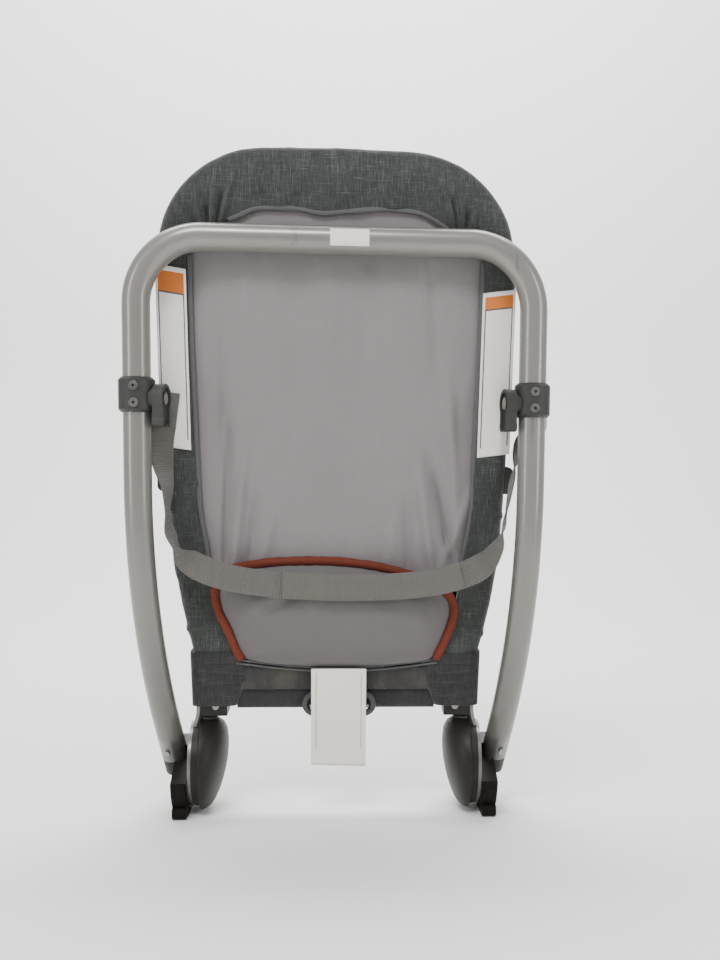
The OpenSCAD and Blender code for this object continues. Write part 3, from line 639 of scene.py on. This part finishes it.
PANEL_FOLDS = [(-104, 262, 88, 66, 4.5, -6.5), (-93, 240, 84, 56, 4.5, 5.0), (-112, 330, 90, 90, 7, -4.0),
               (-80, 230, 80, 40, 4.5, -4.0), (-66, 222, 76, 30, 5, 2.4), (100, 246, 104, 58, 5, -8.0),
               (86, 232, 98, 50, 5, 5.0), (110, 300, 94, 70, 5, 4.0), (68, 224, 92, 40, 5, -4.5),
               (116, 236, 70, 46, 5, 5.0), (52, 218, 84, 26, 5, 2.0), (-40, 420, 88, 90, 12, -2.2),
               (-8, 450, 92, 80, 10, 1.8), (24, 440, 90, 90, 10, -1.8), (56, 430, 86, 80, 12, 1.8),
               (-84, 440, 90, 70, 8, 2.2), (4, 300, 75, 60, 16, -1.8), (90, 430, 95, 60, 6, -2.2),
               (-20, 490, 90, 20, 7, 2.4), (30, 492, 90, 18, 8, -2.4), (78, 488, 90, 20, 7, 2.2)]


def make_panel():
    w = np.linspace(188, 536, 200)
    share = np.linspace(-1, 1, 200)
    half = np.interp(w, *INNER_BACK) + 4
    half = np.where(w > SIDE_TOP, np.interp(w, [SIDE_TOP, 536], [half[w <= SIDE_TOP][-1], 112]), half)
    u = share[None, :] * half[:, None]
    height = np.broadcast_to(w[:, None], u.shape)
    edge = 1 - np.abs(share) ** 14
    full = smooth_step(height, 188, 230) * (1 - smooth_step(height, 455, 490))
    bulge = 4.5 * (1 - share ** 4)[None, :] * full
    depth = -3.5 - 6.5 * edge[None, :] - bulge
    depth = depth - creases(u, height, PANEL_FOLDS) * edge[None, :]
    depth = depth - 0.6 * ripples(u, height * 0.3, 5, 34) * edge[None, :]
    ceiling = -24 + 14 * smooth_step(height, 470, 500)
    depth = np.clip(depth, ceiling, -1) + 3.0 * smooth_step(height, 486, 512)
    piece = shell_piece("back_cloth", seat(np.stack([u, depth, height], -1)), 1.0,
                        LOOKS["panel_fabric"])
    place(piece, "seat", "panel_fabric", "back_panel")


CORD_LINE = [(-91, 107), (-96, 116), (-104, 136), (-112, 153), (-115.5, 168), (-114, 181),
             (-106, 190.5), (-93.6, 196.8), (-70, 200.8), (-45.8, 202.8), (-6.4, 203.2),
             (27.3, 200), (55, 194.6), (77, 188), (95, 180.5), (107, 172), (113, 162),
             (113.5, 150), (107.5, 131), (99, 112), (97, 107)]
BUCKET_FLOOR = [(78, 102.5), (40, 99), (0, 98), (-40, 99), (-74, 102.5)]
CORD_R, CORD_DEPTH = 4.1, -15


def make_bucket():
    loop = resample(CORD_LINE + BUCKET_FLOOR + CORD_LINE[:1], 181)[:-1]
    centre = np.array([0, 150])
    r = np.linspace(0, 1, 50) ** 0.8
    reach = np.linalg.norm(loop - centre, axis=1)[:, None]
    edge = centre + (loop - centre) * (reach - 0.6 * CORD_R) / reach
    flat = centre + r[:, None, None] * (edge - centre)[None]
    u, w = flat[..., 0], flat[..., 1]
    sag = 0.2 * np.maximum(w - 165, 0) / 35
    depth = -9.5 - 24.5 * (1 - r ** 3)[:, None] ** 0.7 * (1 - sag)
    folds = [(-62, 172, 24, 22, 5, 3.4), (-48, 166, 40, 20, 5, -3.0), (-20, 176, 70, 16, 6, 2.0),
             (60, 174, -30, 26, 7, 2.0), (-84, 138, 60, 26, 7, 2.4), (86, 134, -60, 26, 7, 2.4),
             (0, 112, 0, 70, 6, -1.6)]
    depth = depth - (creases(u, w, folds) + 0.8 * ripples(u, w, 8, 60)) * (1 - r ** 6)[:, None]
    rings = seat(np.stack([u, depth, w], -1))
    rings = np.concatenate([rings, rings[:, :1]], 1)
    # The pocket wears the darkened cloth: painted shade.
    piece = shell_piece("seat_bottom", rings, 1.6, SHADED_POCKET, wrap=True)
    place(piece, "seat", "panel_fabric", "seat_bucket")


def make_piping():
    flat = resample(CORD_LINE, 190)
    line = seat(np.stack([flat[:, 0], np.full(len(flat), CORD_DEPTH), flat[:, 1]], -1))
    ring = circle(1, 20)

    def section(i):
        swell = CORD_R - 0.1 + 0.18 * math.sin(i * 0.9) + 0.12 * math.sin(i * 0.37 + 2)
        return ring * [swell, swell * 1.05]

    piece = sweep_piece("bucket_cord", line, section, LOOKS["piping_rust"])
    place(piece, "seat", "piping_rust", "bucket_piping")


def make_hem_lines():
    """Two fine cords along the bottom edge of the bucket."""
    for n, drop in enumerate((0, 3.4)):
        u = np.linspace(-96, 98, 64)
        w = 107 - drop - 8.5 * np.cos(u / 98 * math.pi / 2)
        line = seat(np.stack([u, np.full_like(u, -14.6 - 0.5 * n), w], -1))
        ring = circle(0.9, 10)
        piece = sweep_piece(f"hem_cord_{n + 1}", line, lambda i: ring, BINDING)
        place(piece, "seat", "webbing")


# ---------- lower corners ----------

def make_flap(side, name, node):
    rows, cols = 90, 96
    w = np.linspace(60.5, 113, rows)
    inner = np.interp(w, [58, 62, 86, 113], [97, 95, 85, 84])
    outer = np.interp(w, [58, 113], [139.5, 141])
    angle = np.arange(cols) * math.tau / cols
    c, s = np.cos(angle), np.sin(angle)
    mid, half = (inner + outer) / 2, (outer - inner) / 2
    u = mid[:, None] + half[:, None] * (np.sign(c) * np.abs(c) ** 0.4)[None]
    end = 1 - 0.05 * (np.abs(np.linspace(-1, 1, rows)) ** 10)[:, None]
    v = 16.2 * end * (np.sign(s) * np.abs(s) ** 0.4)[None]
    height = np.broadcast_to(w[:, None], u.shape)
    folds = [(113, 107, -6, 24, 1.8, 1.2), (109, 102, -3, 20, 1.8, -1.6), (120, 97, 5, 16, 2, 1.2),
             (104, 92, 2, 22, 1.8, -1.4), (122, 87, 8, 14, 2, 1.1), (108, 82, -4, 18, 2, -1.1),
             (116, 75, 2, 16, 2.2, 0.8), (108, 69, 4, 16, 2, -0.8)]
    push = creases(u, height, folds) + 0.4 * ripples(u, height * 1.5, 11 + side, 26)
    v = v + np.sign(v) * push * smooth_step(np.abs(v), 6, 15)
    grid = seat(np.stack([side * u, v, height], -1))
    flat = grid.reshape(-1, 3)
    faces = grid_faces(rows, cols, wrap=True)
    faces += [tuple(range(cols))[::-1], tuple((rows - 1) * cols + k for k in range(cols))]
    piece = mesh_piece(name, flat, faces, LOOKS["tweed_flap"])
    tidy(piece)
    place(piece, "seat", "tweed_flap", node)


def make_lower_sleeve():
    line_u = np.linspace(-96, 96, 140)
    ring = super_ring(10.8, 24.0, 4, 48)

    def section(i):
        u = line_u[i]
        wobble = 1 + 0.02 * math.sin(u / 9) + 0.015 * math.sin(u / 5.1 + 1)
        return ring * [wobble, 1]

    line = seat(np.stack([line_u, np.zeros_like(line_u), np.full_like(line_u, 80)], -1))
    piece = sweep_piece("front_edge_sleeve", line, section, LOOKS["tweed_flap"], side=(0, 1, 0))
    place(piece, "seat", "tweed_flap", "lower_sleeve")


def make_lower_webbing():
    line_u = np.linspace(-92, 92, 90)
    depth = -12.6 - 0.25 * np.sin(line_u / 23)
    line = seat(np.stack([line_u, depth, np.full_like(line_u, 88)], -1))
    ring = super_ring(11, 0.9, 4, 28)
    piece = sweep_piece("lower_band", line, lambda i: ring, DARK_WEBBING, side=(0, 0, 1))
    place(piece, "seat", "webbing", "lower_webbing")


def make_ring():
    """Oval moulded ring under the care tag."""
    half, r, steps = 36, 12.5, 24
    a = np.linspace(-90, 90, steps)
    right = [[half - r + (r - 3) * math.cos(math.radians(x)), (r - 3) * math.sin(math.radians(x))] for x in a]
    left = [[-p[0], -p[1]] for p in right]
    loop = np.array(right + left)
    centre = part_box("crotch_ring")
    middle = (centre[0] + centre[1]) / 2 / MM
    line = np.stack([loop[:, 0] + middle[0], np.full(len(loop), middle[1]), loop[:, 1] + middle[2]], -1)
    ring = super_ring(2.6, 3.1, 2.6, 18)
    piece = sweep_piece("strap_ring", line, lambda i: ring, LOOKS["black_plastic"], closed=True)
    place(piece, "seat", "black_plastic", "crotch_ring")


# ---------- labels and tags ----------

def make_care_tag():
    low, high = (np.array(x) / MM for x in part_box("care_tag"))
    rows, cols = 60, 30
    z = np.linspace(low[2], high[2] + 1, rows)
    x = np.linspace(low[0], high[0], cols)
    zz, xx = np.meshgrid(z, x, indexing="ij")
    mid_y = np.interp(z, [low[2], high[2]], [high[1] - 1.0, low[1] + 0.8])
    lift = 1.2 * np.sin((zz - low[2]) / 60 * math.pi) + 0.5 * np.sin(xx / 13 + zz / 30)
    drop = (xx - low[0]) * 0.035 * smooth_step(high[2] - zz, 30, 90)
    for layer, (name, cut, off) in enumerate((("care_tag_front", 0, 0), ("care_tag_back", 4, 1.1))):
        grid = np.stack([xx - (xx - low[0]) * cut * 0.004 * layer, mid_y[:, None] - lift * 0.6 + off,
                         zz - drop + layer * (zz[-1:, :] - zz) * -0.02], -1)
        piece = shell_piece(name, grid, 0.5, LOOKS["tag_white"])
        if layer == 0:
            place(piece, "seat", "tag_white", "care_tag")
        else:
            place(piece, "seat", "tag_white")
    for n, share in enumerate((0.09, 0.91)):
        x0 = low[0] + (high[0] - low[0]) * share
        zs = np.linspace(low[2] + 14, high[2] - 3, 50)
        ys = (np.interp(zs, [low[2], high[2]], [high[1] - 1.0, low[1] + 0.8])
              - 0.6 * (1.2 * np.sin((zs - low[2]) / 60 * math.pi) + 0.5 * np.sin(x0 / 13 + zs / 30)) - 0.55)
        line = np.stack([np.full_like(zs, x0), ys, zs], -1)
        ring = circle(0.35, 8)
        seam = sweep_piece(f"tag_seam_{n + 1}", line, lambda i: ring, THREAD)
        place(seam, "seat", "tag_white")


def make_side_label(side, name, node, w0, w1, inner_u, header):
    rows, cols = 110, 28
    w = np.linspace(w0, w1, rows)
    slope = (w - w0) / (w1 - w0)
    left_u, right_u = inner_u + 2.5 * slope, 164 + 2.2 * slope
    share = np.linspace(0, 1, cols)
    u = left_u[:, None] + (right_u - left_u)[:, None] * share[None]
    height = w[:, None] + share[None] * 4
    depth = back_surface(side, side * u, height) - 1.9 - 0.25 * ripples(u, height, 20 + side, 40)
    grid = seat(np.stack([side * u, depth, height], -1))
    piece = shell_piece(name, grid, 0.4, LOOKS["tag_white"])
    piece.data.materials.append(HEADER)
    piece.data.materials.append(BINDING)
    cells = (rows - 1) * (cols - 1)
    for k in range(2 * cells):
        row, col = divmod(k % cells, cols - 1)
        down = w1 - w[row]
        framed = 2 <= col < cols - 3 and 5 < down < w1 - w0 - 8
        if framed and down < 5 + header:
            piece.data.polygons[k].material_index = 1
        elif framed and (col in (2, cols - 4) or down < 7 + header):
            piece.data.polygons[k].material_index = 2
    place(piece, "seat", "tag_white", node)


# ---------- straps ----------

CARRY_ROUTE = [
    ([-157, -28, 406], [1, 0.2, 0]), ([-160, -27, 380], [0.9, 0.4, 0]),
    ([-162, -27, 354], [0.8, 0.6, 0]), ([-160, -30, 336], [0.6, 0.8, 0]),
    ([-156, -33, 318], [0.3, 1, 0]), ([-156, -34, 296], [0, 1, 0]),
    ([-153, -36, 276], [0.1, 0.9, 0.4]), ([-146, -38, 260], [-0.4, 0.6, 0.7]),
    ([-134, -39, 249], [-0.4, 0.3, 0.9]), ([-116, -39, 240], [-0.3, 0.1, 1]),
    ([-90, -38, 233], [-0.2, 0, 1]), ([-50, -37, 228], [-0.1, 0, 1]), ([0, -37, 226], [0, 0, 1]),
    ([50, -37, 227], [0, 0, 1]), ([90, -38, 231], [0.1, 0, 1]), ([118, -39, 238], [0.2, 0, 1]),
    ([136, -39, 247], [0, 0.35, 1]), ([149, -37, 262], [-0.3, 0.8, 0.3]),
    ([157, -34, 282], [0.3, 0.9, 0.3]), ([162, -29, 306], [0.05, 1, 0]), ([167, -24, 332], [0, 1, 0]),
    ([171, -24, 350], [0.4, 0.8, -0.3]), ([178, -25, 363], [0.7, 0.5, -0.5]),
    ([187, -29, 374], [0.5, 0.7, -0.5]), ([193, -35, 387], [0.1, 0.95, -0.3]),
    ([195, -42, 402], [0, 1, 0])]
GRIP_FIRST, GRIP_LAST = 11, 15


def ribbon_piece(name, route, width, thickness, material, per_mm=0.9, rib=0.0, lift=0.0):
    """Webbing along stations of a point and the direction of its width."""
    both = np.array([list(p) + list(unit(np.array(d, float)) * 40) for p, d in route])
    length = np.linalg.norm(np.diff(both[:, :3], axis=0), axis=1).sum()
    fine = resample(both, max(24, int(length * per_mm)))
    line, ways = fine[:, :3], fine[:, 3:]
    heading = unit(np.gradient(line, axis=0))
    across = unit(ways - heading * np.sum(ways * heading, -1, keepdims=True))
    line = line + np.cross(heading, across) * lift
    ring = super_ring(width / 2, thickness / 2, 5, 36)
    step = length / (len(line) - 1)

    def section(i):
        ridge = rib * math.cos(i * step / 1.7 * math.tau)
        return ring + np.stack([np.zeros(len(ring)), np.sign(ring[:, 1]) * ridge], -1)

    return sweep_piece(name, line, section, material, side=ways), length


def make_carry_strap():
    strap, length = ribbon_piece("carry_webbing", CARRY_ROUTE, 25, 1.7, LOOKS["webbing"], 2.4, 0.14)
    place(strap, "base", "webbing", "carry_strap")
    grip_route = CARRY_ROUTE[GRIP_FIRST:GRIP_LAST + 1]
    grip, grip_length = ribbon_piece("grip_webbing", grip_route, 25, 1.6, LOOKS["webbing"],
                                     2.4, 0.14, 2.0)
    place(grip, "base", "webbing", "strap_grip")


def make_harness():
    for side_name, side in SIDES.items():
        route = [([126, 21.8, 193], [0, 0, 1]), ([112, 21.8, 186], [0, 0, 1]),
                 ([90, 6, 175], [0, 0, 1]), ([29, -5, 147], [0, 0, 1])]
        route = [(seat([side * p[0], p[1], p[2]]), d) for p, d in route]
        strap, length = ribbon_piece(f"waist_webbing_{side_name}", route, 20, 1.6,
                                     LOOKS["webbing"], 1.6, 0.12)
        place(strap, "seat", "webbing", f"waist_strap_{side_name}")
    route = [([0, 9, 103], [1, 0, 0]), ([0, 0, 109], [1, 0, 0]), ([0, -7, 116], [1, 0, 0]),
             ([0, -10, 126.5], [1, 0, 0])]
    route = [(seat(p), d) for p, d in route]
    strap, length = ribbon_piece("crotch_webbing", route, 30, 1.6, LOOKS["webbing"], 1.6, 0.12)
    place(strap, "seat", "webbing", "crotch_strap")


# ---------- padded liner on the sitting side ----------

def inflate(piece, seam_weight, voxel=0.0042, cap=7.0, pressure=4.0):
    """Fills a piece by cloth simulation, held at its seams. seam_weight gives 0 to 1 for points
    in mm. No point moves more than cap."""
    material = piece.data.materials[0]
    remesh = piece.modifiers.new("remesh", "REMESH")
    remesh.mode, remesh.voxel_size = "VOXEL", voxel
    graph = bpy.context.evaluated_depsgraph_get()
    piece.data = bpy.data.meshes.new_from_object(piece.evaluated_get(graph))
    piece.modifiers.clear()
    start = np.array([v.co for v in piece.data.vertices])
    group = piece.vertex_groups.new(name="seams")
    for index, weight in enumerate(seam_weight(start / MM)):
        if weight > 0.01:
            group.add([index], float(weight), "REPLACE")
    cloth = piece.modifiers.new("cloth", "CLOTH")
    cloth.settings.vertex_group_mass = "seams"
    cloth.settings.use_pressure = True
    cloth.settings.uniform_pressure_force = pressure
    cloth.settings.effector_weights.gravity = 0
    cloth.settings.quality = 5
    cloth.point_cache.frame_start, cloth.point_cache.frame_end = 1, 20
    for frame_number in range(1, 21):
        bpy.context.scene.frame_set(frame_number)
    graph = bpy.context.evaluated_depsgraph_get()
    moved = np.array([v.co for v in piece.evaluated_get(graph).data.vertices])
    piece.modifiers.clear()
    bpy.context.scene.frame_set(1)
    shift = moved - start
    size = np.linalg.norm(shift, axis=1, keepdims=True)
    shift *= np.minimum(1, cap * MM / np.maximum(size, 1e-9))
    piece.data.vertices.foreach_set("co", (start + shift).ravel())
    piece.vertex_groups.clear()
    piece.data.materials.clear()
    piece.data.materials.append(material)
    piece.data.polygons.foreach_set("use_smooth", [True] * len(piece.data.polygons))
    piece.data.update()
    subdivide(piece)


LINER_SEAMS = (232, 292, 352, 412, 466)
LINER_HALF = ([101, 128, 160, 188, 206, 240, 400, 480, 500, 514],
              [66, 82, 94, 92, 106, 119, 127, 128, 122, 108])


def liner_seams(points):
    """Weights of the liner's quilting lines and edge."""
    across = np.abs(points[:, 0])
    rise, depth = points[:, 2] - FOLD_Z, points[:, 1] - FOLD_Y
    height = rise * math.cos(LEAN) - depth * math.sin(LEAN)
    half = np.interp(height, *LINER_HALF)
    near = [np.exp(-((height - line) / 2.5) ** 2) for line in LINER_SEAMS]
    near += [smooth_step(across, half - 9, half - 5), smooth_step(height, 506, 510),
             1 - smooth_step(height, 106, 112), (height < 215) * 0.6]
    return np.clip(np.max(near, axis=0), 0, 1)


def make_liner():
    w = np.linspace(101, 514, 170)
    share = np.linspace(-1, 1, 120)
    half = np.interp(w, *LINER_HALF)
    u = share[None, :] * half[:, None]
    height = np.broadcast_to(w[:, None], u.shape)
    depth = np.interp(w, [101, 106, 125, 160, 196, 240, 516], [4, -4, -15, -15, -5, 2.5, 2.5])[:, None]
    edge = (1 - np.abs(share) ** 8)[None, :]
    channel = sum(np.exp(-((height - line) / 3.2) ** 2) for line in LINER_SEAMS)
    puff = 1.8 * edge - 3.0 * channel * edge
    border = np.exp(-((np.abs(u) - (half[:, None] - 16)) / 2.6) ** 2) * (height > 215)
    depth = depth + puff - 2.4 * border - 4.0 * (1 - edge) + 0.5 * ripples(u, height, 31, 44)
    piece = shell_piece("padded_liner", seat(np.stack([u, depth, height], -1)), 8.5,
                        LOOKS["liner_fabric"], flip=True)
    inflate(piece, liner_seams)
    place(piece, "seat", "liner_fabric", "seat_liner")


# ---------- hubs ----------

def make_dome(side, name, node):
    rows, cols = 64, 56
    base_x = 131.2
    z = np.linspace(2.2, 92.6, rows)
    inner = np.interp(z, [2.2, 6, 12, 20, 30, 40, 50, 60, 70, 80, 87, 92.6],
                      [127, 122, 118, 114.6, 111.4, 109, 107.2, 106.2, 106, 107, 110, 117])
    reach = np.sqrt(np.maximum(46 ** 2 - (z - FOLD_Z) ** 2, 4))
    t = np.sin(np.linspace(-math.pi / 2, math.pi / 2, cols))
    y = FOLD_Y + t[None] * reach[:, None]
    bow = np.maximum(1 - np.abs(t) ** 2.3, 0) ** 0.55
    x = base_x - (base_x - inner)[:, None] * bow[None]
    grid = np.stack([side * x, y, np.broadcast_to(z[:, None], y.shape)], -1)
    piece = shell_piece(name, grid, 2.6, LOOKS["hub_plastic"], flip=side == LEFT)
    place(piece, "base", "hub_plastic", node)


# ---------- stage ----------

def plain(name, color, roughness=0.9):
    material = bpy.data.materials.new(name)
    material.use_nodes = True
    shader = material.node_tree.nodes["Principled BSDF"]
    shader.inputs["Base Color"].default_value = (*color, 1)
    shader.inputs["Roughness"].default_value = roughness
    return material


def make_stage():
    size, back, bend = 9000, 1900, 700
    profile = [[-5200, 0], [back - bend, 0]]
    profile += [[back - bend + bend * math.sin(a), bend - bend * math.cos(a)]
                for a in np.radians(range(9, 91, 9))]
    profile += [[back, 5200]]
    points = [[x, y, z - 0.4] for x in (-size, size) for y, z in profile]
    count = len(profile)
    faces = [(k, k + 1, count + k + 1, count + k) for k in range(count - 1)]
    floor = mesh_piece("pale_floor", points, faces, plain("pale_floor", (0.92, 0.92, 0.91)))


def soft_light(name, place_at, aim, size, power, color=(1, 1, 1)):
    data = bpy.data.lights.new(name, "AREA")
    data.shape = "RECTANGLE"
    data.size, data.size_y = size
    data.energy, data.color = power, color
    light = bpy.data.objects.new(name, data)
    bpy.context.scene.collection.objects.link(light)
    light.location = place_at
    light.rotation_euler = (Vector(aim) - Vector(place_at)).to_track_quat("-Z", "Y").to_euler()


def make_lights():
    world = bpy.data.worlds.new("studio")
    bpy.context.scene.world = world
    world.use_nodes = True
    world.node_tree.nodes["Background"].inputs["Color"].default_value = (1, 1, 1, 1)
    world.node_tree.nodes["Background"].inputs["Strength"].default_value = 0.55
    soft_light("key", (-0.35, -1.3, 2.0), (0, 0, 0.35), (0.8, 0.5), 30)
    soft_light("streak_left", (-1.3, -0.9, 0.7), (0, 0, 0.35), (0.12, 1.1), 7)
    soft_light("streak_right", (1.3, -0.9, 0.7), (0, 0, 0.35), (0.12, 1.1), 7)
    soft_light("backdrop", (0.0, 0.7, 2.4), (0, 1.9, 0.4), (2.4, 0.8), 95)


CAMERA_AT = (0.0093, -1.0638, 0.3365)
CAMERA_PITCH, CAMERA_YAW, CAMERA_ROLL = -4.93, 3.94, 0.61


def make_camera():
    data = bpy.data.cameras.new("view")
    data.lens, data.sensor_width = 41.2, 36
    data.shift_x, data.shift_y = -0.0643, 0.0884
    camera = bpy.data.objects.new("view", data)
    bpy.context.scene.collection.objects.link(camera)
    pitch, yaw, roll = (math.radians(x) for x in (CAMERA_PITCH, CAMERA_YAW, CAMERA_ROLL))
    ahead = Vector((math.sin(yaw) * math.cos(pitch), math.cos(yaw) * math.cos(pitch), math.sin(pitch)))
    turned = ahead.to_track_quat("-Z", "Y").to_matrix().to_4x4()
    camera.matrix_world = Matrix.Translation(CAMERA_AT) @ turned @ Matrix.Rotation(roll, 4, "Z")
    bpy.context.scene.camera = camera


def main():
    make_camera()
    make_lights()
    make_stage()
    dress_cad_nodes()
    make_base_tube()
    for name, side in SIDES.items():
        make_cover("side", side, f"side_cover_{name}", f"side_sleeve_{name}", SIDE_FOLDS[side], 3 + side)
        make_binding(side, f"edge_binding_{name}")
        make_flap(side, f"corner_flap_{name}", f"lower_flap_{name}")
        make_dome(side, f"hub_cover_{name}", f"hub_dome_{name}")
    make_cover("hood", RIGHT, "hood_cover", "head_cover", HOOD_FOLDS, 2)
    make_hood_hem()
    make_panel()
    make_bucket()
    make_piping()
    make_hem_lines()
    make_lower_sleeve()
    make_lower_webbing()
    make_ring()
    make_care_tag()
    make_side_label(LEFT, "blank_label_left", "side_label_left", 307, 472, 136, 18)
    make_side_label(RIGHT, "blank_label_right", "side_label_right", 303, 456, 133, 11)
    make_carry_strap()
    make_liner()
    make_harness()


main()
